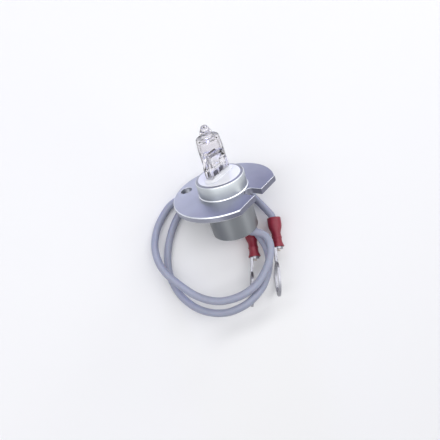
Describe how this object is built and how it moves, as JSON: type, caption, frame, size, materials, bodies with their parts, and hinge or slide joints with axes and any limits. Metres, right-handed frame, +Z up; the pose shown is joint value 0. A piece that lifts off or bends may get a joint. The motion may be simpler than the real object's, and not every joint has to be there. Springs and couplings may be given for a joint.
{
  "type": "analyzer halogen lamp",
  "caption": "Halogen capsule lamp in a ceramic base and aluminium flanged holder, with insulated leads to ring terminals.",
  "frame": {"origin": "on the bench surface, under the centre of the lamp's own bounding box, which leaves out the leads and their terminals", "axes": "+Z up from the bench; +Y the level direction in which the bulb points, the lamp's axis rising 33.5 degrees above it; +X to the side on which the leads' terminals start"},
  "size_m": [0.0523, 0.0664, 0.0326],
  "materials": {
    "aluminium": "satin turned and milled metal",
    "ceramic_white": "unglazed fired ceramic",
    "cement_white": "rough dried cement",
    "quartz_glass": "clear polished",
    "tungsten": "drawn wire, wound",
    "molybdenum": "rolled foil and drawn wire",
    "tinned_copper": "bright tin plating",
    "copper_strands": "twisted tinned strands",
    "lead_jacket": "satin flexible insulation",
    "sleeve_red": "soft vinyl, satin"
  },
  "bodies": {
    "root": {"lamp_holder": "aluminium", "ceramic_base": "ceramic_white", "capsule_cement": "cement_white", "cement_plug": "cement_white", "glass_capsule": "quartz_glass", "filament": "tungsten", "filament_leg_right": "tungsten", "seal_foil_right": "molybdenum", "contact_pin_right": "molybdenum", "splice_tube_right": "tinned_copper", "bare_root_right": "copper_strands", "lead_right": "lead_jacket", "strand_end_right": "copper_strands", "terminal_sleeve_right": "sleeve_red", "ring_terminal_right": "tinned_copper", "filament_leg_left": "tungsten", "seal_foil_left": "molybdenum", "contact_pin_left": "molybdenum", "splice_tube_left": "tinned_copper", "bare_root_left": "copper_strands", "lead_left": "lead_jacket", "strand_end_left": "copper_strands", "terminal_sleeve_left": "sleeve_red", "ring_terminal_left": "tinned_copper"}
  },
  "joints": []
}
